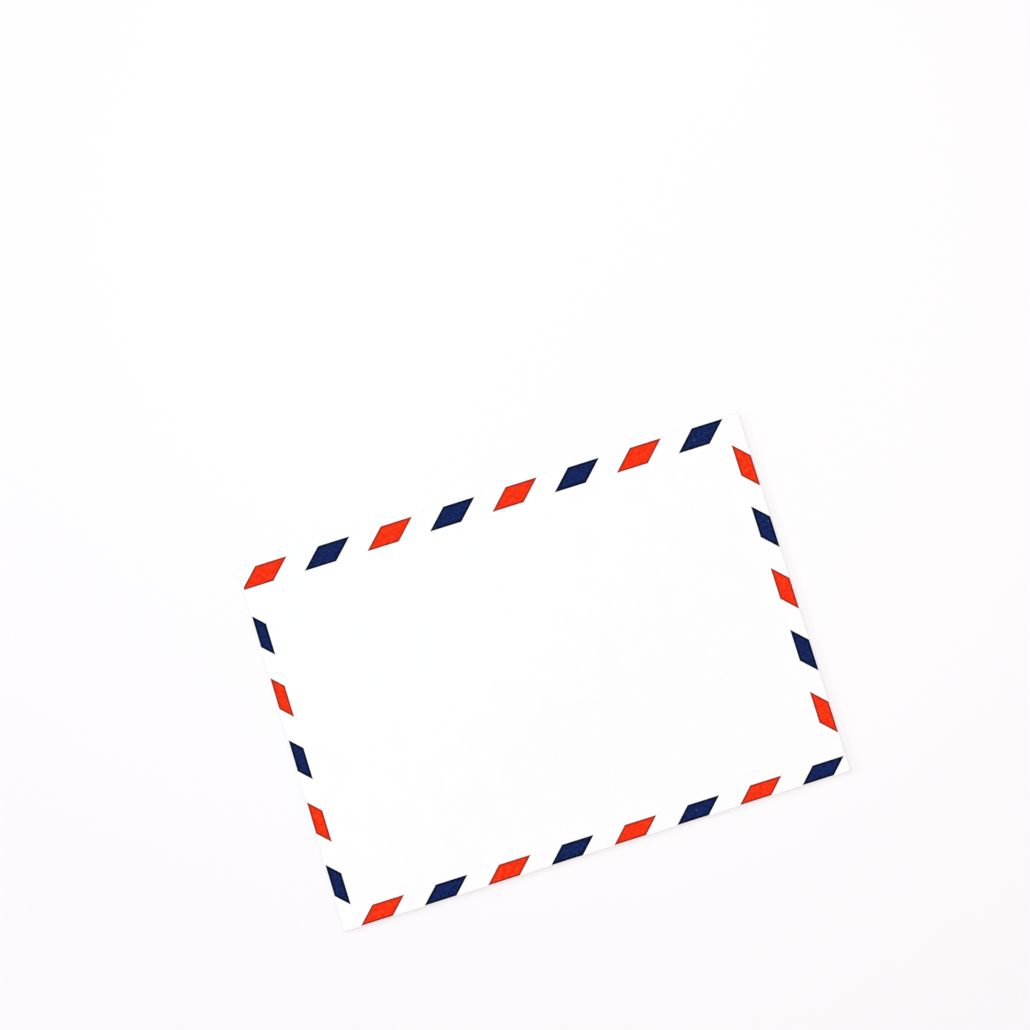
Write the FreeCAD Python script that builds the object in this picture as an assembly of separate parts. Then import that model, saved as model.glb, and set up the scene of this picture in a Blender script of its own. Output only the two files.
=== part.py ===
import FreeCAD, Part
import math
import os

# A paper envelope, folded from one sheet and lying on its back.
# The address side faces up (+Z), the long folds run along X, and the opening is at +Y, where the closing
# flap is folded over to the back. The origin is under the middle, on the surface that it lies on.

V = FreeCAD.Vector

# Driving dimensions, in millimetres

# Outside of the folded envelope
width = 162.0
height = 115.0

# The sheet, and the air between its layers
paper = 0.12
flap_air = 0.06         # between the closing flap and the bottom flap
pocket_air = 0.25       # inside the pocket, along the folds
crown = 1.2             # the front bows up by this much at its middle
crown_inset = 0.4       # and begins to bow this far inside the printed border
fold_notch = 0.6        # each fold stops this short of the envelope's corners

# Flaps on the back
bottom_reach = 65.5     # from the bottom fold to the bottom flap's point, before it is rounded
flap_overlap = 19.5     # the closing flap's point reaches this far past the bottom flap's
side_tip_gap = 16.0     # between the ends of the two side flaps
seam_width = 13.0       # widest part of the glued seam between a side flap and the bottom flap
side_tuck = 5.0         # the side flaps reach this far under the closing flap
bottom_round = 12.0
closing_round = 14.0
side_round = 9.0

# Printed border: slanted bars that go clockwise round the front, red and navy in turn
ink = 0.02
lean = 45.0             # degrees: the outer end of each bar is ahead of its inner end
long_bars = 8           # bars along each long edge
short_bars = 5          # bars along each short edge
bar_share = 0.5         # share of the pitch that a bar covers

# Distance from each fold to the inner ends of its bars, where the row starts and where it ends
top_band = (6.4, 6.6)
right_band = (5.0, 4.8)
bottom_band = (5.0, 5.4)
left_band = (4.2, 3.6)

# Bare length before the first bar's inner end and after the last one's, going clockwise.
# The top row starts a little outside the corner, so the left fold cuts that bar's tip.
top_bare = (-0.5, 11.4)
right_bare = (9.0, 16.8)
bottom_bare = (0.8, 10.4)
left_bare = (7.4, 18.3)

# Heights of the layers above the surface, from the closing flap up
closing_low = 0.0
bottom_low = closing_low + paper + flap_air
side_low = bottom_low + paper
front_high = side_low + paper + pocket_air + paper

# Outer radius of each fold: half the height between the outsides of the two layers that it joins
closing_fold = (front_high - closing_low) / 2
bottom_fold = (front_high - bottom_low) / 2
side_fold = (front_high - side_low) / 2

# Where the folds begin to turn, and so where the flat front ends
front_right = width / 2 - side_fold
front_top = height / 2 - closing_fold
front_bottom = -height / 2 + bottom_fold

# Half sizes of the bowed panel, which lies clear inside the widest band of bars
margin = max(top_band + right_band + bottom_band + left_band) + crown_inset
panel_right = width / 2 - margin
panel_top = height / 2 - margin


def rounded_corner(before, corner, after, radius):
    """Start, middle and end of the arc that rounds a corner of an outline."""
    back = (before - corner).normalize()
    onward = (after - corner).normalize()
    half = back.getAngle(onward) / 2
    middle_line = (back + onward).normalize()
    run = radius / math.tan(half)
    to_arc = radius / math.sin(half) - radius
    return corner + back * run, corner + middle_line * to_arc, corner + onward * run


def flap(corners, low):
    """Flat flap from (point, radius) corners, with its underside at the height low."""
    edges = []
    points = [point for point, radius in corners]
    last = None
    for number, (corner, radius) in enumerate(corners):
        before = points[number - 1]
        after = points[(number + 1) % len(points)]
        if radius:
            start, middle, end = rounded_corner(before, corner, after, radius)
            arc = Part.Arc(start, middle, end).toShape()
        else:
            start, end, arc = corner, corner, None
        if last is None:
            first = start
        else:
            edges.append(Part.LineSegment(last, start).toShape())
        if arc:
            edges.append(arc)
        last = end
    edges.append(Part.LineSegment(last, first).toShape())
    outline = Part.Face(Part.Wire(edges))
    outline.translate(V(0, 0, low))
    return outline.extrude(V(0, 0, paper))


def fold(start, end, inward, radius):
    """Half-round fold that turns the sheet back under the front, along its outermost line."""
    centre = start + inward * radius + V(0, 0, front_high - radius)
    inner = radius - paper

    def half_circle(r):
        return Part.Arc(centre + V(0, 0, r), centre - inward * r, centre - V(0, 0, r)).toShape()

    upper = Part.LineSegment(centre + V(0, 0, inner), centre + V(0, 0, radius)).toShape()
    lower = Part.LineSegment(centre - V(0, 0, inner), centre - V(0, 0, radius)).toShape()
    section = Part.Face(Part.Wire([upper, half_circle(radius), lower, half_circle(inner)]))
    return section.extrude(end - start)


def bowed_panel():
    """Middle of the front, level at its rim and bowed up inside.

    The height is crown * (1 - u^2)^2 * (1 - v^2)^2 for u and v from -1 to 1 across the panel.
    As a surface of degree 4 each way it has 5 by 5 poles, and only the middle one is raised.
    """
    degree = 4
    middle_weight = (math.comb(degree, 2) / 2 ** degree) ** 2
    surface = Part.BezierSurface()
    surface.increase(degree, degree)
    for i in range(degree + 1):
        for j in range(degree + 1):
            x = panel_right * (2 * i / degree - 1)
            y = panel_top * (2 * j / degree - 1)
            is_middle = 2 * i == degree and 2 * j == degree
            raised = crown / middle_weight if is_middle else 0
            surface.setPole(i + 1, j + 1, V(x, y, front_high + raised))
    return surface.toShape().extrude(V(0, 0, -paper))


def front():
    """Address side: a flat rim that carries the print, round the bowed panel."""
    corner = V(-front_right, front_bottom, front_high - paper)
    rim = Part.makeBox(2 * front_right, front_top - front_bottom, paper, corner)
    middle = Part.makeBox(2 * panel_right, 2 * panel_top, paper, V(-panel_right, -panel_top, corner.z))
    return rim.cut(middle).fuse(bowed_panel())


def closing_flap():
    """Pointed flap on the outside of the back, folded down from the top edge."""
    side = width / 2 - fold_notch
    point = bottom_point() - flap_overlap
    return flap([(V(-side, front_top, 0), 0), (V(0, point, 0), closing_round), (V(side, front_top, 0), 0)],
                closing_low)


def bottom_point():
    """Height of the bottom flap's point on the back, before it is rounded."""
    return -height / 2 + bottom_reach


def bottom_flap():
    """Pointed flap folded up from the bottom edge, over the side flaps."""
    side = width / 2 - fold_notch
    return flap([(V(-side, front_bottom, 0), 0), (V(side, front_bottom, 0), 0),
                 (V(0, bottom_point(), 0), bottom_round)], bottom_low)


def side_flap(side):
    """Blunt flap folded in from one short edge: side is -1 for the left one and 1 for the right one."""
    base = side * front_right
    tip = side * side_tip_gap / 2
    half = height / 2 - fold_notch
    in_from_fold = 1 - side_tip_gap / width
    bottom_edge = -height / 2 + bottom_reach * in_from_fold
    closing_edge = height / 2 + (bottom_point() - flap_overlap - height / 2) * in_from_fold
    return flap([(V(base, -half, 0), 0), (V(tip, bottom_edge - seam_width, 0), side_round),
                 (V(tip, closing_edge + side_tuck, 0), side_round), (V(base, half, 0), 0)], side_low)


def folded_sheet():
    """The whole sheet as one solid: front, four folds and four flaps, glued where the seams overlap."""
    x = width / 2
    y = height / 2
    long_end = x - fold_notch
    short_end = y - fold_notch
    pieces = [
        fold(V(-long_end, y, 0), V(long_end, y, 0), V(0, -1, 0), closing_fold),
        fold(V(-long_end, -y, 0), V(long_end, -y, 0), V(0, 1, 0), bottom_fold),
        fold(V(-x, -short_end, 0), V(-x, short_end, 0), V(1, 0, 0), side_fold),
        fold(V(x, -short_end, 0), V(x, short_end, 0), V(-1, 0, 0), side_fold),
        closing_flap(),
        bottom_flap(),
        side_flap(-1),
        side_flap(1),
    ]
    return front().fuse(pieces).removeSplitter()


def bar_row(corner, along, inward, length, count, band, bare):
    """Upright blocks with the plan of one row's bars, each running out past the fold."""
    pitch = (length - bare[0] - bare[1]) / (count - 1 + bar_share)
    outside = closing_fold
    tall = front_high + 2 * ink
    blocks = []
    for number in range(count):
        start = bare[0] + number * pitch
        ends = (start, start + bar_share * pitch)
        depths = [band[0] + (band[1] - band[0]) * end / length for end in ends]
        inner = [corner + along * end + inward * depth for end, depth in zip(ends, depths)]
        ahead = [(depth + outside) * math.tan(math.radians(lean)) for depth in depths]
        outer = [corner + along * (end + lead) - inward * outside for end, lead in zip(ends, ahead)]
        outline = [inner[0], inner[1], outer[1], outer[0], inner[0]]
        blocks.append(Part.Face(Part.makePolygon(outline)).extrude(V(0, 0, tall)))
    return blocks


def printed_bars():
    """All bars of the border, clockwise from the top left corner, as thin solids lying on the rim.

    The ink ends where the paper begins to turn, so one film over the flat front trims every bar.
    """
    x = width / 2
    y = height / 2
    right, left, up, down = V(1, 0, 0), V(-1, 0, 0), V(0, 1, 0), V(0, -1, 0)
    blocks = bar_row(V(-x, y, 0), right, down, width, long_bars, top_band, top_bare)
    blocks += bar_row(V(x, y, 0), down, left, height, short_bars, right_band, right_bare)
    blocks += bar_row(V(x, -y, 0), left, up, width, long_bars, bottom_band, bottom_bare)
    blocks += bar_row(V(-x, -y, 0), up, right, height, short_bars, left_band, left_bare)
    film_corner = V(-front_right, front_bottom, front_high)
    film = Part.makeBox(2 * front_right, front_top - front_bottom, ink, film_corner)
    return [film.common(block).Solids[0] for block in blocks]


def save(name, shape):
    """Write one sub-part and print what it is."""
    shape.exportStep(os.path.join("parts", name + ".step"))
    box = shape.optimalBoundingBox()
    size = " x ".join(f"{side:.3f}" for side in (box.XLength, box.YLength, box.ZLength))
    print(f"{name}: {len(shape.Solids)} solids, {size} mm, {shape.Volume:.2f} mm3, valid {shape.isValid()}")


def main():
    os.makedirs("parts", exist_ok=True)
    bars = printed_bars()
    save("envelope_sheet", folded_sheet())
    save("red_bars", Part.makeCompound(bars[0::2]))
    save("navy_bars", Part.makeCompound(bars[1::2]))


main()
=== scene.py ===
# %% [markdown]
# # A paper envelope with a striped border
#
# One sheet of white paper is cut, creased along four lines and folded into a flat pocket. Two side flaps
# and a bottom flap make the back, and a pointed closing flap is folded over them. Red and navy bars are
# printed round the front. The envelope lies on its back on a white table, seen from nearly straight above.
#
# This lesson makes three things: the folded sheet, the red bars and the navy bars. Each is a surface worked
# out with numpy. All lengths are in millimetres until a mesh is made, because paper is thought of in
# millimetres, and each mesh is in metres.

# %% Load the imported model
import math

import bmesh
import bpy
import numpy as np
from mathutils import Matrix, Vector


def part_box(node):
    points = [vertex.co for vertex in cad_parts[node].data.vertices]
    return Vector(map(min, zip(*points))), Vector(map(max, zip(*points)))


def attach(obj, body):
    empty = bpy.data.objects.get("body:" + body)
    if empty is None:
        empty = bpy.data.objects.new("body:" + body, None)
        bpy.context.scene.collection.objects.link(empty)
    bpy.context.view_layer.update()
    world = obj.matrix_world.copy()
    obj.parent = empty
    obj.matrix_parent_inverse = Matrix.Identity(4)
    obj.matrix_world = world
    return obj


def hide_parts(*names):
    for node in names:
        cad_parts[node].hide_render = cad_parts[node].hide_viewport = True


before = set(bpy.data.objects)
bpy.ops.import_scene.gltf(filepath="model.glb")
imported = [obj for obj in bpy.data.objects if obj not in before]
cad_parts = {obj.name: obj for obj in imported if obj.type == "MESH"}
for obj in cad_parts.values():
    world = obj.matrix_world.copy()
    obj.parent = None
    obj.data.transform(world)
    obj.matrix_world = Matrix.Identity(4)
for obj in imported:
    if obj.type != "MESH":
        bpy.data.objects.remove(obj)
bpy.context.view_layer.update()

print("packed nodes:", sorted(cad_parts))

# %% [markdown]
# ## The envelope's own measures
#
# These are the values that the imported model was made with, so each surface below lands where its solid is.
# The sheet's layers are stacked from the table up: the closing flap, the bottom flap, the side flaps, some
# air, and the front. A fold is a half circle between two of these layers. Paper keeps its length along its
# middle layer when it bends, so the surfaces here are that middle layer, and the thickness is added to
# both sides of it at the end.

# %% Measures, in millimetres
MM = 0.001

width, height = 162.0, 115.0
paper = 0.12
fold_notch = 0.6

closing_low, bottom_low, side_low, front_high = 0.0, 0.18, 0.30, 0.79
closing_fold = (front_high - closing_low) / 2
bottom_fold = (front_high - bottom_low) / 2
side_fold = (front_high - side_low) / 2

front_right = width / 2 - side_fold
front_top = height / 2 - closing_fold
front_bottom = bottom_fold - height / 2
long_end = width / 2 - fold_notch
short_end = height / 2 - fold_notch

print(f"outer radii of the folds, mm: {closing_fold:.3f}, {bottom_fold:.3f} and {side_fold:.3f}")

# %% [markdown]
# ## How the front bulges
#
# A folded sheet springs back a little, so an empty envelope is never quite flat: its front is bowed up in
# the middle, and its edges rise and fall by less than the thickness of the paper. One could sculpt that or
# run a cloth simulation, but a height that is a plain sum of smooth terms is exact, quick and the same each
# time, and the ink can follow it. The bow keeps inside the printed border, so it needs the depth of each
# row of bars, at the row's start and at its end.

# %% Height of the front's middle layer
top_band, right_band, bottom_band, left_band = (6.4, 6.6), (5.0, 4.8), (5.0, 5.4), (4.2, 3.6)
crown = 1.2
crown_inset = 0.4
panel_margin = max(top_band + right_band + bottom_band + left_band) + crown_inset
panel_right = width / 2 - panel_margin
panel_top = height / 2 - panel_margin

# Each wave of the ripple: height, millimetres per radian along x and along y, and start in radians
waves = ((0.045, 19, 31, 0.6), (0.035, -43, 15, 2.1))
spring_open = 0.28
corner_hold = 0.6


def front_height(x, y):
    """Height of the front's middle layer over the table.

    Level plus bow plus ripple plus spring. The bow is crown * (1 - u^2)^2 * (1 - v^2)^2, with u and v from
    -1 to 1 across the panel inside the printed border. The ripple is the sum of two long, low waves that
    cross the sheet, each high * sin(x / long_x + y / long_y + start). The creases spring open by
    spring_open, less towards the corners, where two creases hold each other down: times
    1 - corner_hold * (sx * sy)^2, with sx and sy from -1 to 1 across the whole front.
    """
    u = np.clip(x / panel_right, -1, 1)
    v = np.clip(y / panel_top, -1, 1)
    bow = crown * (1 - u ** 2) ** 2 * (1 - v ** 2) ** 2
    ripple = sum(high * np.sin(x / long_x + y / long_y + start) for high, long_x, long_y, start in waves)
    sx, sy = 2 * x / width, 2 * y / height
    spring = spring_open * (1 - corner_hold * (sx * sy) ** 2)
    return front_high - paper / 2 + bow + ripple + spring


sample = front_height(*np.meshgrid(np.linspace(-80, 80, 33), np.linspace(-57, 57, 23)))
print(f"front from {sample.min():.2f} to {sample.max():.2f} mm above the table")

# %% [markdown]
# ## Not quite square
#
# A folding machine, or a hand, sets each crease a little off, so a real envelope's corners are only nearly
# right angles. This one's top crease runs about a quarter of a degree off the bottom one. Moving the four
# corners by half a millimetre and everything between them in proportion bends nothing and tears nothing,
# so it is applied to every point of every piece, flaps and ink included.

# %% Drift of the creases
corner_drift = {
    (-1, 1): (0.52, -0.50),
    (1, 1): (0.14, 0.42),
    (1, -1): (-0.13, 0.10),
    (-1, -1): (-0.15, -0.05),
}


def drifted(points):
    """Points moved with the four corners.

    Each corner's drift counts by the share (1 + sx) * (1 + sy) / 4, where sx and sy are the point's place
    from -1 to 1, taken towards that corner.
    """
    sx = points[..., 0] / (width / 2)
    sy = points[..., 1] / (height / 2)
    moved = points.copy()
    for (side_x, side_y), (dx, dy) in corner_drift.items():
        share = (1 + side_x * sx) * (1 + side_y * sy) / 4
        moved[..., 0] += share * dx
        moved[..., 1] += share * dy
    return moved


for label, y in (("top", height / 2), ("bottom", -height / 2)):
    start, end = drifted(np.array([[-width / 2, y, 0.0], [width / 2, y, 0.0]]))
    print(f"{label} crease: {math.degrees(math.atan2(end[1] - start[1], end[0] - start[0])):.2f} degrees")

# %% [markdown]
# ## The sheet, folded
#
# A real envelope starts as a flat blank shaped like a blunt cross. Here the middle of the cross is one grid,
# the front, and each arm is another: the fold and the flap behind it. An arm's grid has one direction along
# the crease and one across it. Going across, the paper first turns round a half circle and then runs back
# under the front. The flap's two cut sides are straight lines that end in arcs, so each is a function of
# the distance from the crease, and the grid is stretched between them. Bending a flat cross with a modifier
# would do too, but then four bends have to be lined up, and here the fold's formula lines them up by itself.

# %% How far the flaps reach
bottom_reach, flap_overlap, side_tip_gap = 65.5, 19.5, 16.0
seam_width, side_tuck = 13.0, 5.0
bottom_round, closing_round, side_round = 12.0, 14.0, 9.0

bottom_point = bottom_reach - height / 2
closing_point = bottom_point - flap_overlap


def pointed_tip(base, length, radius):
    """Slope of a pointed flap's cut sides, and where its tip lies once the point is rounded."""
    slope = base / length
    return slope, length - radius * math.hypot(1, slope) / slope + radius


def side_slopes():
    """Slopes of the side flaps' lower and upper cut sides, and how far the blunt tip is from the crease."""
    length = front_right - side_tip_gap / 2
    inward = 1 - side_tip_gap / width
    low_corner = -height / 2 + bottom_reach * inward - seam_width
    high_corner = height / 2 + (closing_point - height / 2) * inward + side_tuck
    return (low_corner + short_end) / length, (short_end - high_corner) / length, length


closing_slope, closing_tip = pointed_tip(long_end, front_top - closing_point, closing_round)
bottom_slope, bottom_tip = pointed_tip(long_end, bottom_point - front_bottom, bottom_round)
side_low_slope, side_high_slope, side_tip = side_slopes()
print(f"closing, bottom and side flaps reach {closing_tip:.1f}, {bottom_tip:.1f} and {side_tip:.1f} mm")

# %% The cut sides of a flap
def cut_side(run, base, slope, radius, tip):
    """Cut side of a flap, as a distance along the crease for each distance run from it.

    A straight line, base + slope * run, until it meets an arc of the given radius. The arc's centre lies
    one radius short of the tip, and one radius inside the line, so the arc ends square to the flap's axis.
    """
    steep = math.hypot(1, slope)
    centre_run = tip - radius
    centre_side = base + slope * centre_run + radius * steep
    meets = centre_run + radius * slope / steep
    arc = centre_side - np.sqrt(np.maximum(radius ** 2 - (run - centre_run) ** 2, 0))
    return np.where(run < meets, base + slope * run, arc)


half_widths = -cut_side(np.array([0, 20, 40, 60]), -long_end, closing_slope, closing_round, closing_tip)
print("half widths of the closing flap at 0, 20, 40 and 60 mm:", half_widths.round(1))

# %% Rows across an arm
row_step = 1.5
fold_steps, tip_steps = 10, 14


def rows_across(radius, tip, tip_radius):
    """Distances across an arm, from the front's edge: equal steps round the fold, equal steps along the
    flap, and steps that follow the sine of a quarter turn round the tip, where the outline turns fastest."""
    round_fold = np.linspace(0, np.pi * radius, fold_steps + 1)
    flat = np.linspace(0, tip - tip_radius, int((tip - tip_radius) / row_step) + 1)
    round_tip = tip - tip_radius + tip_radius * np.sin(np.linspace(0, np.pi / 2, tip_steps + 1))
    return np.concatenate([round_fold, np.pi * radius + flat[1:], np.pi * radius + round_tip[1:]])


closing_rows = rows_across(closing_fold - paper / 2, closing_tip, closing_round)
print("rows across the closing flap:", len(closing_rows))

# %% Folding an arm of the blank
def folded_arm(edge, radius, ends, tip, tip_radius, slopes, columns):
    """Grid of one arm: where each point goes when the sheet turns back at the crease.

    With a = (distance past the front's edge) / radius, held between 0 and pi, the sheet reaches
    edge + radius * sin(a) and has come down by the share (1 - cos(a)) / 2 of the way to the flap's level.
    Past the fold it runs straight back. Returns the place along the crease, the reach, the share of the way
    down, and the distance past the edge.
    """
    run = rows_across(radius, tip, tip_radius)
    past = np.maximum(run - np.pi * radius, 0)
    low = cut_side(past, ends[0], slopes[0], tip_radius, tip)
    up = -cut_side(past, -ends[1], slopes[1], tip_radius, tip)
    share = np.linspace(0, 1, columns)
    along = low[:, None] * (1 - share) + up[:, None] * share
    turn = np.clip(run / radius, 0, np.pi)[:, None] * np.ones(columns)
    reach = edge + radius * np.sin(turn) - past[:, None]
    down = (1 - np.cos(turn)) / 2
    return along, reach, down, run[:, None] * np.ones(columns)


print(f"paper that goes round the closing fold: {np.pi * (closing_fold - paper / 2):.2f} mm")

# %% An arm in its place
long_columns = 109
short_columns = 77


def arm(edge, outer_radius, low, ends, tip, tip_radius, slopes, columns, place):
    """Points, blank coordinates and crease of an arm. place turns (along, out) into (x, y) for its side.

    The crease is the sine of the turn, 2 * sqrt(down * (1 - down)): none on the flat parts and 1 on the
    fold's outermost line.
    """
    radius = outer_radius - paper / 2
    along, reach, down, run = folded_arm(edge, radius, ends, tip, tip_radius, slopes, columns)
    x, y = place(along, reach)
    crease_x, crease_y = place(along[:1], np.full_like(along[:1], edge))
    high = front_height(crease_x, crease_y)
    level = low + paper / 2
    points = np.stack([x, y, high + (level - high) * down], axis=-1)
    blank = np.stack(place(along, edge + run), axis=-1)
    return points, blank, 2 * np.sqrt(down * (1 - down))


print(f"columns across a long crease: {long_columns}, across a short one: {short_columns}")

# %% The four arms
# A hair of glue keeps the side flaps' faces and the bottom flap's from lying in one plane.
glue = 0.01
long_ends = (-long_end, long_end)
short_ends = (-short_end, short_end)
closing_slopes = (closing_slope, closing_slope)
bottom_slopes = (bottom_slope, bottom_slope)
side_flap_slopes = (side_low_slope, side_high_slope)

arms = {
    "closing": arm(front_top, closing_fold, closing_low, long_ends, closing_tip, closing_round,
                   closing_slopes, long_columns, lambda along, out: (along, out)),
    "bottom": arm(-front_bottom, bottom_fold, bottom_low, long_ends, bottom_tip, bottom_round,
                  bottom_slopes, long_columns, lambda along, out: (along, -out)),
    "right": arm(front_right, side_fold, side_low + glue, short_ends, side_tip, side_round,
                 side_flap_slopes, short_columns, lambda along, out: (out, along)),
    "left": arm(front_right, side_fold, side_low + glue, short_ends, side_tip, side_round,
                side_flap_slopes, short_columns, lambda along, out: (-out, along)),
}
for label, (points, blank, crease) in arms.items():
    across, along = np.abs(blank).reshape(-1, 2).max(0).round(1)
    print(f"{label} flap: {points.shape[0]} rows by {points.shape[1]}, in the blank up to {across}, {along}")

# %% The front
# Its grid shares the arms' columns, and its very corners are drawn in a hair, as a fold's end draws them.
corner_draw = (0.1, 0.06)

lines_x = np.concatenate([[-front_right], np.linspace(*long_ends, long_columns), [front_right]])
lines_y = np.concatenate([[front_bottom], np.linspace(*short_ends, short_columns), [front_top]])
front_x, front_y = np.meshgrid(lines_x, lines_y)
corner = (np.abs(front_x) > long_end + 0.01) & (np.abs(front_y) > short_end + 0.01)
front_x = front_x - np.where(corner, corner_draw[0], 0) * np.sign(front_x)
front_y = front_y - np.where(corner, corner_draw[1], 0) * np.sign(front_y)
front_points = np.stack([front_x, front_y, front_height(front_x, front_y)], axis=-1)
front_blank = np.stack([front_x, front_y], axis=-1)
print("front:", front_x.shape[0], "rows by", front_x.shape[1])

# %% [markdown]
# ## From grids to paper
#
# Each surface is a table of points, rows by columns. A mesh is a list of points and a list of faces, so the
# helpers below list the points of such a table and the four-sided faces between neighbours. Several tables
# are joined by stacking their lists, and the points that lie on each other along a shared crease are merged
# afterwards, so the sheet has no open seam. Blender's Solidify modifier then gives the surface the paper's
# thickness, to both sides of the middle layer. It is applied, so that the mesh is the finished paper.

# %% Faces of a grid
def grid_faces(rows, columns, start=0, flip=False):
    """Corner numbers of the faces of a grid: each face joins a point to its right and upper neighbours."""
    number = start + np.arange(rows * columns).reshape(rows, columns)
    corners = [number[:-1, :-1], number[:-1, 1:], number[1:, 1:], number[1:, :-1]]
    if flip:
        corners.reverse()
    return np.stack(corners, axis=-1).reshape(-1, 4)


print("faces of a grid of 2 by 3 points:", grid_faces(2, 3).tolist())

# %% A mesh from several grids
def make_mesh(name, tables, uv_maps, values=None):
    """Mesh from several grids. Each table is (points in mm, flip). Each UV map has one grid of pairs per
    table, and each entry of values, a number per point, has one grid of numbers per table."""
    points, faces = [], []
    start = 0
    for table, flip in tables:
        rows, columns = table.shape[:2]
        points.append(drifted(table).reshape(-1, 3))
        faces.append(grid_faces(rows, columns, start, flip))
        start += rows * columns
    points = np.concatenate(points) * MM
    faces = np.concatenate(faces)
    mesh = bpy.data.meshes.new(name)
    mesh.vertices.add(len(points))
    mesh.loops.add(faces.size)
    mesh.polygons.add(len(faces))
    mesh.vertices.foreach_set("co", points.ravel())
    mesh.loops.foreach_set("vertex_index", faces.ravel())
    mesh.polygons.foreach_set("loop_start", np.arange(0, faces.size, 4))
    mesh.update(calc_edges=True)
    for label, grids in uv_maps.items():
        pairs = np.concatenate([grid.reshape(-1, 2) for grid in grids])
        layer = mesh.uv_layers.new(name=label)
        layer.data.foreach_set("uv", pairs[faces.ravel()].ravel())
    for label, grids in (values or {}).items():
        numbers = np.concatenate([grid.ravel() for grid in grids]).astype(np.float32)
        mesh.attributes.new(label, "FLOAT", "POINT").data.foreach_set("value", numbers)
    mesh.validate()
    return mesh


tables = [(front_points, False), (arms["closing"][0], False), (arms["bottom"][0], True),
          (arms["right"][0], True), (arms["left"][0], False)]
blanks = [front_blank] + [arms[label][1] for label in ("closing", "bottom", "right", "left")]
creases = [np.zeros(front_x.shape)] + [arms[label][2] for label in ("closing", "bottom", "right", "left")]
sheet_mesh = make_mesh("folded_sheet", tables, {"blank": blanks}, {"crease": creases})
print(f"middle layer: {len(sheet_mesh.vertices)} points, {len(sheet_mesh.polygons)} faces")

# %% Thickness
sharp_edge = math.radians(50)


def thicken(name, mesh, thickness, offset, merge):
    """Object whose surface gets a thickness in mm, with closed seams and crisp cut edges."""
    work = bmesh.new()
    work.from_mesh(mesh)
    bmesh.ops.remove_doubles(work, verts=work.verts, dist=merge * MM)
    bmesh.ops.dissolve_degenerate(work, edges=work.edges, dist=merge * MM)
    work.to_mesh(mesh)
    work.free()
    mesh.polygons.foreach_set("use_smooth", np.ones(len(mesh.polygons), bool))
    piece = bpy.data.objects.new(name, mesh)
    bpy.context.scene.collection.objects.link(piece)
    wall = piece.modifiers.new("thickness", "SOLIDIFY")
    wall.thickness = thickness * MM
    wall.offset = offset
    wall.use_even_offset = True
    bpy.context.view_layer.update()
    finished = bpy.data.meshes.new_from_object(piece.evaluated_get(bpy.context.evaluated_depsgraph_get()))
    piece.modifiers.clear()
    piece.data = finished
    finished.name = name
    finished.set_sharp_from_angle(angle=sharp_edge)
    finished.calc_loop_triangles()
    print(f"{name}: {len(finished.vertices)} points, {len(finished.loop_triangles)} triangles")
    return piece


folded_sheet = thicken("folded_sheet", sheet_mesh, paper, 0.0, 0.002)

# %% [markdown]
# ## The printed bars
#
# The border is printed before the sheet is folded: slanted bars in two rows along the long edges and two
# along the short ones, red and navy in turn, going clockwise. The ink ends where the paper begins to turn.
# The bars could be a pattern in the paper's material, but as thin films of their own they have exact
# edges, and each keeps its own place in the rows. A bar's grid lies between its trailing and its leading
# side.

# %% One bar as a grid
lean = 45.0
bar_share = 0.5
bar_rows, bar_columns = 13, 15


def bar_grid(row, number):
    """Grid of one bar in its row: place along the side and depth from the fold, with distances to its rim.

    The inner ends lie a share of the pitch apart, at the band's depth, which changes evenly along the row.
    Both sides lean by the same angle, so a point moves ahead by tan(lean) for each step outwards. Rows of
    the grid run along the side, and none runs past the next fold.
    """
    length, count, band, bare, flat_depth, first, last = row
    pitch = (length - bare[0] - bare[1]) / (count - 1 + bar_share)
    ends = bare[0] + number * pitch + np.array([0, bar_share * pitch])
    depths = band[0] + (band[1] - band[0]) * ends / length
    tangent = math.tan(math.radians(lean))
    v = np.linspace(0, 1, bar_rows)[:, None]
    depth_pair = depths + (flat_depth - depths) * v
    side_pair = ends + (depths - depth_pair) * tangent
    held = np.clip(side_pair, first, length - last)
    u = np.linspace(0, 1, bar_columns)
    along = held[:, :1] * (1 - u) + held[:, 1:] * u
    depth = depth_pair[:, :1] * (1 - u) + depth_pair[:, 1:] * u
    across = math.cos(math.radians(lean))
    sides = np.stack([(along - side_pair[:, :1]) * across, (side_pair[:, 1:] - along) * across], axis=-1)
    ends_away = np.stack([depth[:1] - depth, depth - flat_depth], axis=-1)
    return along, depth, sides, ends_away


print(f"a bar's grid: {bar_rows} rows by {bar_columns}, leaning by {lean} degrees")

# %% The four rows
# A row: length of its side, bars, depth of the band, bare lengths before and after, depth at which the
# paper begins to turn, and the same for the folds that the row starts and ends at.
long_bars, short_bars = 8, 5
top_bare, right_bare, bottom_bare, left_bare = (-0.5, 11.4), (9.0, 16.8), (0.8, 10.4), (7.4, 18.3)

rows = [
    ((width, long_bars, top_band, top_bare, closing_fold, side_fold, side_fold),
     lambda s, d: (s - width / 2, height / 2 - d)),
    ((height, short_bars, right_band, right_bare, side_fold, closing_fold, bottom_fold),
     lambda s, d: (width / 2 - d, height / 2 - s)),
    ((width, long_bars, bottom_band, bottom_bare, bottom_fold, side_fold, side_fold),
     lambda s, d: (width / 2 - s, d - height / 2)),
    ((height, short_bars, left_band, left_bare, side_fold, bottom_fold, closing_fold),
     lambda s, d: (d - width / 2, s - height / 2)),
]
print("bars in the top, right, bottom and left rows:", [row[1] for row, place in rows])

# %% Lay the bars on the front
# The film lies on the front and reaches a hair into the paper, so that no light gets under it.
ink = 0.02
bite = 0.004

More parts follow.
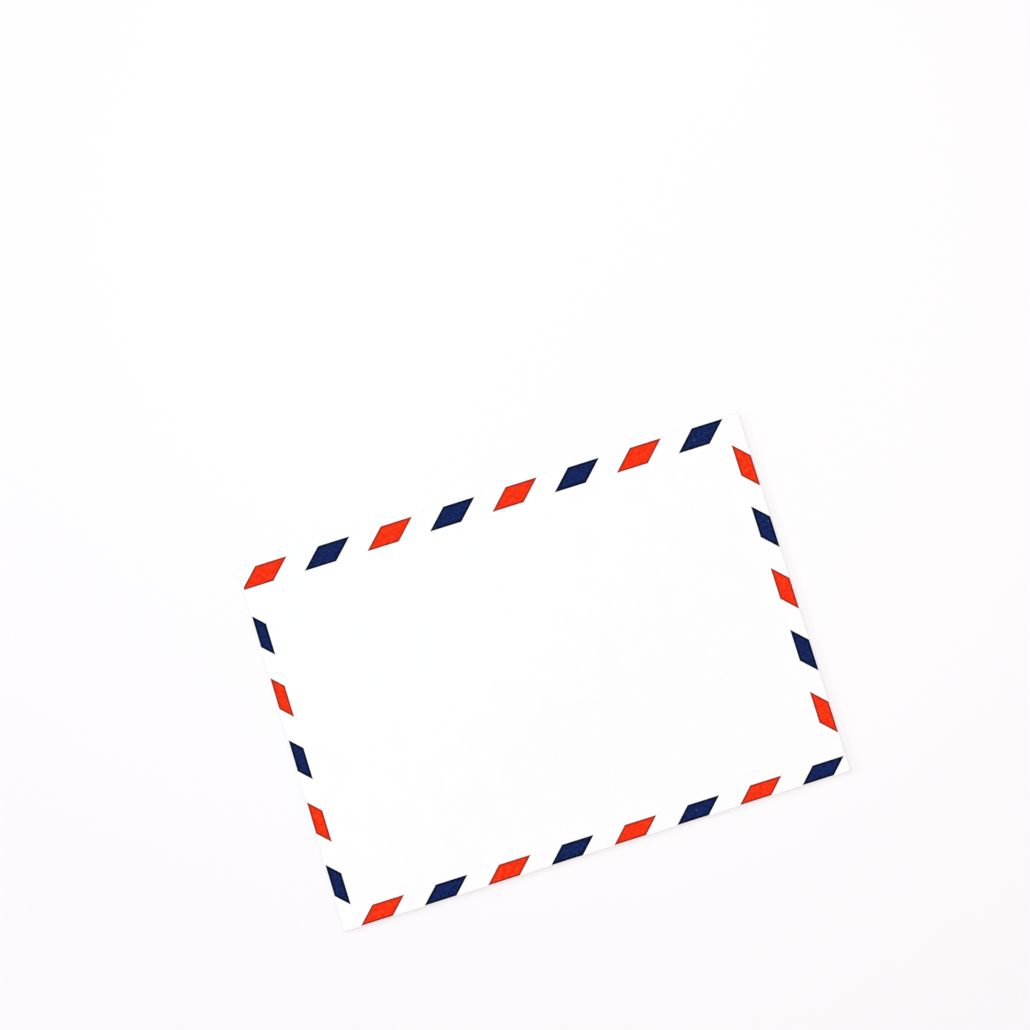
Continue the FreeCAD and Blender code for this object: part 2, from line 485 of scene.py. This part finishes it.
printed = []
for row, place in rows:
    for number in range(row[1]):
        along, depth, sides, ends_away = bar_grid(row, number)
        x, y = place(along, depth)
        points = np.stack([x, y, front_height(x, y) + paper / 2 + ink], axis=-1)
        printed.append((points, np.stack([x, y], axis=-1), sides, ends_away))


def bars_of_one_ink(name, chosen):
    """Object of all bars of one colour, as one thin film each."""
    tables = [(points, False) for points, blank, sides, ends_away in chosen]
    maps = {
        "blank": [blank for points, blank, sides, ends_away in chosen],
        "sides": [sides for points, blank, sides, ends_away in chosen],
        "ends": [ends_away for points, blank, sides, ends_away in chosen],
    }
    return thicken(name, make_mesh(name, tables, maps), ink + bite, -1.0, 0.001)


red_ink_bars = bars_of_one_ink("red_ink_bars", printed[0::2])
navy_ink_bars = bars_of_one_ink("navy_ink_bars", printed[1::2])

# %% [markdown]
# ## The grain of the paper
#
# Paper is a felt of fibres: it is a touch uneven in tone, in soft clouds some millimetres wide, and its
# face has a fine relief. The ink lies on that same felt, so the grain is a node group that the paper and
# both inks use, each with its own values. A photograph of paper would be simpler, but a computed grain has
# no seams and can be looked at from as near as one likes.

# %% An empty group for the grain
def new_group(name, inputs, outputs):
    """Empty node group with named inputs and outputs, each (name, kind, default) or (name, kind)."""
    group = bpy.data.node_groups.new(name, "ShaderNodeTree")
    for label, kind, default in inputs:
        socket = group.interface.new_socket(label, in_out="INPUT", socket_type="NodeSocket" + kind)
        if default is not None:
            socket.default_value = default
    for label, kind in outputs:
        group.interface.new_socket(label, in_out="OUTPUT", socket_type="NodeSocket" + kind)
    return group, group.nodes.new("NodeGroupInput").outputs, group.nodes.new("NodeGroupOutput").inputs


paper_grain, given, wanted = new_group(
    "paper_grain",
    [("Place", "Vector", None), ("Cloud Size", "Float", 9.0), ("Fibre Width", "Float", 0.12)],
    [("Clouds", "Float"), ("Fibres", "Float"), ("Relief", "Float")])
print("paper_grain gives:", [socket.name for socket in wanted if socket.name])

# %% Clouds in the paper
def add(tree, kind, options=None, inputs=None):
    """Adds a shader node, sets its options, and fills or links its inputs."""
    made = tree.nodes.new("ShaderNode" + kind)
    for option, value in (options or {}).items():
        setattr(made, option, value)
    for label, value in (inputs or {}).items():
        socket = made.inputs[label]
        if isinstance(value, bpy.types.NodeSocket):
            tree.links.new(value, socket)
        else:
            socket.default_value = value
    return made


def maths(tree, operation, first, second=0.0):
    """Output of a Math node on two values."""
    return add(tree, "Math", {"operation": operation}, {0: first, 1: second}).outputs[0]


def noise(tree, place, scale, detail=2.0, roughness=0.5):
    """Noise from 0 to 1 whose lumps are about 1 / scale millimetres wide."""
    inputs = {"Vector": place, "Scale": scale, "Detail": detail, "Roughness": roughness}
    return add(tree, "TexNoise", None, inputs).outputs["Fac"]


def steps_between(tree, value, low, high, to_low=0.0, to_high=1.0):
    """Smooth step: to_low below low, to_high above high, and an S-shaped way between."""
    inputs = {"Value": value, "From Min": low, "From Max": high, "To Min": to_low, "To Max": to_high}
    return add(tree, "MapRange", {"interpolation_type": "SMOOTHSTEP"}, inputs).outputs["Result"]


tree = paper_grain
clouds = noise(tree, given["Place"], maths(tree, "DIVIDE", 1.0, given["Cloud Size"]), 4.0, 0.6)
tree.links.new(steps_between(tree, clouds, 0.3, 0.7), wanted["Clouds"])
print("nodes in paper_grain with its clouds:", len(tree.nodes))

# %% Fibres and relief
# A fibre is a lump of noise drawn out nine times its width. Fibres lie four ways, and the place is bent
# first by up to 1.3 mm either way, so that they curl.
fibre_length = 9
curl = 2.6

bend = add(tree, "TexNoise", None, {"Vector": given["Place"], "Scale": 0.45, "Detail": 1.0}).outputs["Color"]
curled = add(tree, "VectorMath", {"operation": "MULTIPLY_ADD"}, {
    0: bend, 1: (curl, curl, 0.0), 2: given["Place"]}).outputs["Vector"]
fine = maths(tree, "DIVIDE", 0.5, given["Fibre Width"])
strands = []
for angle in (0.1, 0.9, 1.6, 2.4):
    turned = add(tree, "Mapping", {"vector_type": "TEXTURE"}, {
        "Vector": curled, "Rotation": (0, 0, angle), "Scale": (fibre_length, 1, 1)}).outputs[0]
    strands.append(noise(tree, turned, fine, 1.5, 0.5))
felt = maths(tree, "MAXIMUM", maths(tree, "MAXIMUM", strands[0], strands[1]),
             maths(tree, "MAXIMUM", strands[2], strands[3]))
fibres = steps_between(tree, felt, 0.6, 0.85)
tree.links.new(fibres, wanted["Fibres"])
pits = noise(tree, given["Place"], maths(tree, "DIVIDE", 0.4, given["Fibre Width"]), 3.0, 0.6)
tree.links.new(maths(tree, "ADD", maths(tree, "MULTIPLY", fibres, 0.6), pits), wanted["Relief"])
print("nodes in paper_grain when finished:", len(tree.nodes))

# %% [markdown]
# ## Ink on uncoated paper
#
# Such a border is printed from a raised plate. The plate squeezes ink out to the rim of each bar, where it
# lies thicker and darker, while the middle is a little patchy and has rare pale pinholes where the paper
# shows. The film's two maps hold each point's distance in millimetres from the bar's four sides, so the
# rim follows every bar whatever its shape. The colours stay in the two materials, and both use this group.

# %% The rim of a bar
printed_film, given, wanted = new_group(
    "printed_film",
    [("Place", "Vector", None), ("Sides", "Vector", None), ("Ends", "Vector", None),
     ("Rim Width", "Float", 0.3), ("Patch Size", "Float", 0.8), ("Pinholes", "Float", 0.5)],
    [("Rim", "Float"), ("Patches", "Float"), ("Pinholes", "Float")])
tree = printed_film
sides = add(tree, "SeparateXYZ", None, {"Vector": given["Sides"]}).outputs
ends = add(tree, "SeparateXYZ", None, {"Vector": given["Ends"]}).outputs
nearest = maths(tree, "MINIMUM", maths(tree, "MINIMUM", sides[0], sides[1]),
                maths(tree, "MINIMUM", ends[0], ends[1]))

# The rim's inner edge wanders by up to a quarter of a millimetre, and fades from a third of its width on.
wander = maths(tree, "SUBTRACT", noise(tree, given["Place"], 2.2, 4.0, 0.7), 0.5)
nearest = maths(tree, "ADD", nearest, maths(tree, "MULTIPLY", wander, 0.5))
full_rim = maths(tree, "MULTIPLY", given["Rim Width"], 0.35)
tree.links.new(steps_between(tree, nearest, full_rim, given["Rim Width"], 1.0, 0.0), wanted["Rim"])
print("nodes in printed_film with its rim:", len(tree.nodes))

# %% Patches and pinholes
coarse = noise(tree, given["Place"], maths(tree, "DIVIDE", 1.0, given["Patch Size"]), 4.0, 0.7)
tooth = noise(tree, given["Place"], maths(tree, "DIVIDE", 2.8, given["Patch Size"]), 3.0, 0.7)
patches = maths(tree, "ADD", maths(tree, "MULTIPLY", coarse, 0.5), maths(tree, "MULTIPLY", tooth, 0.5))
tree.links.new(steps_between(tree, patches, 0.36, 0.64), wanted["Patches"])
specks = noise(tree, given["Place"], 1.6, 0.0)
shown = maths(tree, "SUBTRACT", 1.0, maths(tree, "MULTIPLY", given["Pinholes"], 0.2))
tree.links.new(steps_between(tree, specks, shown, maths(tree, "ADD", shown, 0.03)), wanted["Pinholes"])
print("nodes in printed_film when finished:", len(tree.nodes))

# %% [markdown]
# ## The finish of the paper
#
# The paper is plain white and matt. Along its creases a grey is painted into its colour: partly wear, where
# fingers and the folding machine press it, and partly painted shade, which stands in for the shading of the
# folds and the thin line where they meet the table. The sheet already carries a number for how sharply it
# turns at each point, so that number places the painted grey, more in some places than in others. All
# patterns read the sheet's place in its flat blank, so they run round a fold as they do in real paper.

# %% A matt material
def new_material(name, roughness, specular):
    """Material with a Principled BSDF, whose constant values are set on the shader itself."""
    material = bpy.data.materials.new(name)
    material.use_nodes = True
    shader = material.node_tree.nodes["Principled BSDF"]
    shader.inputs["Roughness"].default_value = roughness
    shader.inputs["Specular IOR Level"].default_value = specular
    return material, material.node_tree, shader


def uv_place(tree, label):
    """The piece's own map of that name."""
    return add(tree, "UVMap", {"uv_map": label}).outputs["UV"]


def place_group(tree, group, inputs):
    """Outputs of a node group placed in a material with its own values."""
    made = tree.nodes.new("ShaderNodeGroup")
    made.node_tree = group
    for label, value in inputs.items():
        if isinstance(value, bpy.types.NodeSocket):
            tree.links.new(value, made.inputs[label])
        else:
            made.inputs[label].default_value = value
    return made.outputs


white_paper, tree, shader = new_material("white_paper", 0.85, 0.12)
place = uv_place(tree, "blank")
grain = place_group(tree, paper_grain, {"Place": place, "Cloud Size": 9.0, "Fibre Width": 0.12})
print("material:", white_paper.name)

# %% White, cloudy and grey at the creases
def blend_colours(tree, share, first, second):
    """Colour between two others."""
    made = add(tree, "Mix", {"data_type": "RGBA"})
    colours = ((made.inputs["Factor"], share), (made.inputs[6], first), (made.inputs[7], second))
    for socket, value in colours:
        if isinstance(value, bpy.types.NodeSocket):
            tree.links.new(value, socket)
        else:
            socket.default_value = value if socket.name == "Factor" else (*value, 1.0)
    return made.outputs[2]


cloud_white, clear_white = (0.952, 0.954, 0.952), (0.962, 0.963, 0.960)
# The crease grey is partly wear and partly painted shade for the folds' own shading and their line on the
# table.
fibre_white, crease_wear_and_shade_grey = (0.925, 0.925, 0.917), (0.83, 0.82, 0.815)

crease = add(tree, "Attribute", {"attribute_name": "crease"}).outputs["Fac"]
uneven = steps_between(tree, noise(tree, place, 0.7, 4.0, 0.65), 0.35, 0.65, 0.45, 0.85)
sheet_white = blend_colours(tree, grain["Clouds"], cloud_white, clear_white)
with_fibres = blend_colours(tree, maths(tree, "MULTIPLY", grain["Fibres"], 0.6), sheet_white, fibre_white)
# Painted shade and wear: the creases grey with how sharply the sheet turns there, broken up by noise.
tone = blend_colours(tree, maths(tree, "MULTIPLY", crease, uneven), with_fibres, crease_wear_and_shade_grey)
tree.links.new(tone, shader.inputs["Base Color"])
tree.links.new(steps_between(tree, grain["Relief"], 0.2, 1.2, 0.8, 0.92), shader.inputs["Roughness"])
relief = add(tree, "Bump", None, {"Height": grain["Relief"], "Strength": 0.8, "Distance": 0.03 * MM})
tree.links.new(relief.outputs["Normal"], shader.inputs["Normal"])
folded_sheet.data.materials.clear()
folded_sheet.data.materials.append(white_paper)
print("nodes in white_paper:", len(tree.nodes))

# %% [markdown]
# ## The two inks
#
# Both inks are matt: uncoated paper drinks the ink, so hardly any gloss is left, and the specular level is
# low. With more gloss the white surroundings would wash the navy out. One function makes both, because
# they differ only in their colours and in how coarse they lie: thin ink, thick ink, and ink squeezed out
# to the rim.

# %% Inks
pinhole_white = (0.62, 0.62, 0.63)


def ink_material(name, thin, thick, squeezed, rim_width, patch_size):
    """Printed ink: thin and thick are its colour where it is patchy, squeezed its colour at the rim."""
    material, tree, shader = new_material(name, 0.75, 0.05)
    place = uv_place(tree, "blank")
    film = place_group(tree, printed_film, {
        "Place": place, "Sides": uv_place(tree, "sides"), "Ends": uv_place(tree, "ends"),
        "Rim Width": rim_width, "Patch Size": patch_size, "Pinholes": 0.5})
    grain = place_group(tree, paper_grain, {"Place": place, "Cloud Size": 4.0, "Fibre Width": 0.16})
    body = blend_colours(tree, film["Patches"], thin, thick)
    rim_share = steps_between(tree, film["Patches"], 0.0, 1.0, 0.80, 0.98)
    rimmed = blend_colours(tree, maths(tree, "MULTIPLY", film["Rim"], rim_share), body, squeezed)
    tone = blend_colours(tree, film["Pinholes"], rimmed, pinhole_white)
    tree.links.new(tone, shader.inputs["Base Color"])
    rough = steps_between(tree, grain["Relief"], 0.2, 1.2, 0.68, 0.85)
    tree.links.new(rough, shader.inputs["Roughness"])
    relief = add(tree, "Bump", None, {"Height": grain["Relief"], "Strength": 0.8, "Distance": 0.02 * MM})
    tree.links.new(relief.outputs["Normal"], shader.inputs["Normal"])
    return material


red_print = ink_material("red_print", thin=(0.98, 0.056, 0.010), thick=(0.86, 0.009, 0.0),
                         squeezed=(0.32, 0.022, 0.012), rim_width=0.80, patch_size=1.3)
navy_print = ink_material("navy_print", thin=(0.011, 0.033, 0.172), thick=(0.0002, 0.002, 0.026),
                          squeezed=(0.001, 0.002, 0.010), rim_width=1.00, patch_size=0.9)
for piece, material in ((red_ink_bars, red_print), (navy_ink_bars, navy_print)):
    piece.data.materials.clear()
    piece.data.materials.append(material)
    print("material:", material.name, "on", piece.name)

# %% [markdown]
# ## Join the pieces to the imported model
#
# Each piece stands for one node of the imported model, which is hidden, and rides on the only body that
# there is. An envelope has no moving parts, so a single body carries it all.

# %% Ride and replace
for piece, node, slot in ((folded_sheet, "envelope_sheet", "paper"), (red_ink_bars, "red_bars", "red_ink"),
                          (navy_ink_bars, "navy_bars", "navy_ink")):
    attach(piece, "root")
    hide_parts(node)
    low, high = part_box(node)
    own = np.array([corner[:] for corner in piece.bound_box])
    print(piece.name, "box against its node's, mm:", (1000 * (own.min(0) - low)).round(2),
          (1000 * (own.max(0) - high)).round(2))

# %% [markdown]
# ## A table that ends in white
#
# The table is matt and nearly as white as the paper. Its colour is painted a touch darker and more lilac
# away from a best-lit spot: a painted fall-off of light, as where a lamp's light thins out. If it simply
# ended, or met a grey backdrop, low views would show a horizon. So its material fades to plain white with
# the distance, but only for the rays that show it: for the rays that light the envelope it stays an
# ordinary table, and it keeps its shadow.

# %% Rays of sight
def rays_of_sight(tree):
    """1 for rays that show a thing, straight or in a gloss or a glass, and 0 for rays that light it."""
    rays = add(tree, "LightPath").outputs
    shown = maths(tree, "MAXIMUM", rays["Is Glossy Ray"], rays["Is Transmission Ray"])
    return maths(tree, "MAXIMUM", rays["Is Camera Ray"], shown)


table_white, tree, shader = new_material("white_table", 0.9, 0.1)
seen = rays_of_sight(tree)
print("material:", table_white.name)

# %% Table, in metres
table_radius = 3.0
table_drop = 0.00001
best_lit = (0.05, 0.10, 0)
# The table's colour is painted darker and more lilac away from best_lit: a painted fall-off of light.
near_white, painted_falloff_white = (0.962, 0.952, 0.958), (0.932, 0.910, 0.930)

place = add(tree, "TexCoord").outputs["Object"]
away = add(tree, "VectorMath", {"operation": "DISTANCE"}, {0: place, 1: best_lit}).outputs["Value"]
tone = blend_colours(tree, steps_between(tree, away, 0.09, 0.27), near_white, painted_falloff_white)
tree.links.new(tone, shader.inputs["Base Color"])
fade = maths(tree, "MULTIPLY", seen, steps_between(tree, away, 0.28, 0.55))
plain_white = add(tree, "Emission", None, {"Color": (1.0, 1.0, 1.0, 1.0), "Strength": 1.0})
faded = add(tree, "MixShader", None, {0: fade, 1: shader.outputs[0], 2: plain_white.outputs[0]})
tree.links.new(faded.outputs[0], tree.nodes["Material Output"].inputs["Surface"])

bpy.ops.mesh.primitive_circle_add(vertices=96, radius=table_radius, fill_type="NGON",
                                  location=(0, 0, -table_drop))
table_top = bpy.context.object
table_top.name = "table_top"
table_top.data.materials.append(table_white)
print(f"{table_top.name}: {table_radius} m in radius, {table_drop / MM:.2f} mm under the envelope")

# %% [markdown]
# ## Light
#
# The envelope lies in light that comes from nearly everywhere and a little more from the upper left, so its
# only shadow is a thin soft line where the folds meet the table, heavier and wider below and on the right.
# An even world gives that line, a large lamp high on the left makes it heavier, and a low, weak window
# farther round to the left draws it out. A window's light is cooler than a room's, so the room is a little
# warm and the shadow has a trace of pink, while white paper, which gets both, stays white. The light is
# set so that the paper is just short of pure white: brighter, and the paper and the table would run
# together.

# %% Room
world = bpy.data.worlds.new("white_room")
bpy.context.scene.world = world
world.use_nodes = True
tree = world.node_tree
tree.nodes.clear()
room = add(tree, "Background", None, {"Color": (1.0, 0.956, 0.959, 1.0), "Strength": 0.956})
backdrop = add(tree, "Background", None, {"Color": (1.0, 1.0, 1.0, 1.0), "Strength": 1.0})
either = add(tree, "MixShader", None, {
    0: rays_of_sight(tree), 1: room.outputs[0], 2: backdrop.outputs[0]})
add(tree, "OutputWorld", None, {"Surface": either.outputs[0]})
print("world:", world.name)

# %% Lamp and window
def soft_light(name, place, across, tall, power, colour):
    """Rectangular lamp of the given size in metres that faces the envelope."""
    data = bpy.data.lights.new(name, "AREA")
    data.shape = "RECTANGLE"
    data.size, data.size_y = across, tall
    data.energy, data.color = power, colour
    lamp = bpy.data.objects.new(name, data)
    bpy.context.scene.collection.objects.link(lamp)
    lamp.location = place
    lamp.rotation_euler = (-Vector(place)).to_track_quat("-Z", "Y").to_euler()
    print(f"{name}: {power} W from {Vector(place).length:.2f} m away")


soft_light("soft_lamp", (-0.45, 1.25, 1.4), 1.2, 1.2, 4.8, (0.75, 1.0, 1.0))
soft_light("low_window", (-2.81, 1.53, 0.86), 1.6, 0.6, 17.0, (0.5, 1.0, 1.0))

# %% [markdown]
# ## Camera
#
# The envelope is looked at from about 35 cm above, with the camera turned a little and tilted by two
# degrees. The place and the lens were found by moving the camera until the front's four corners and its
# bars lay where they should in the picture, because a guess by eye is never as good as a fit to points.

# %% Camera
camera_place = (-2.74, 36.85, 354.70)
camera_turn = (2.133, -0.773, -17.249)

camera_data = bpy.data.cameras.new("camera")
camera_data.lens = 40.194
camera_data.sensor_width = 36.0
camera_data.clip_start = 0.01
camera = bpy.data.objects.new("camera", camera_data)
bpy.context.scene.collection.objects.link(camera)
camera.location = [MM * v for v in camera_place]
camera.rotation_euler = [math.radians(v) for v in camera_turn]
bpy.context.scene.camera = camera
print(f"camera {camera.location.length:.3f} m away, view {math.degrees(camera_data.angle):.1f} degrees wide")

# %% [markdown]
# ## Settings
#
# The Standard view shows colours as they are written.

# %% Finish
bpy.context.scene.view_settings.view_transform = "Standard"
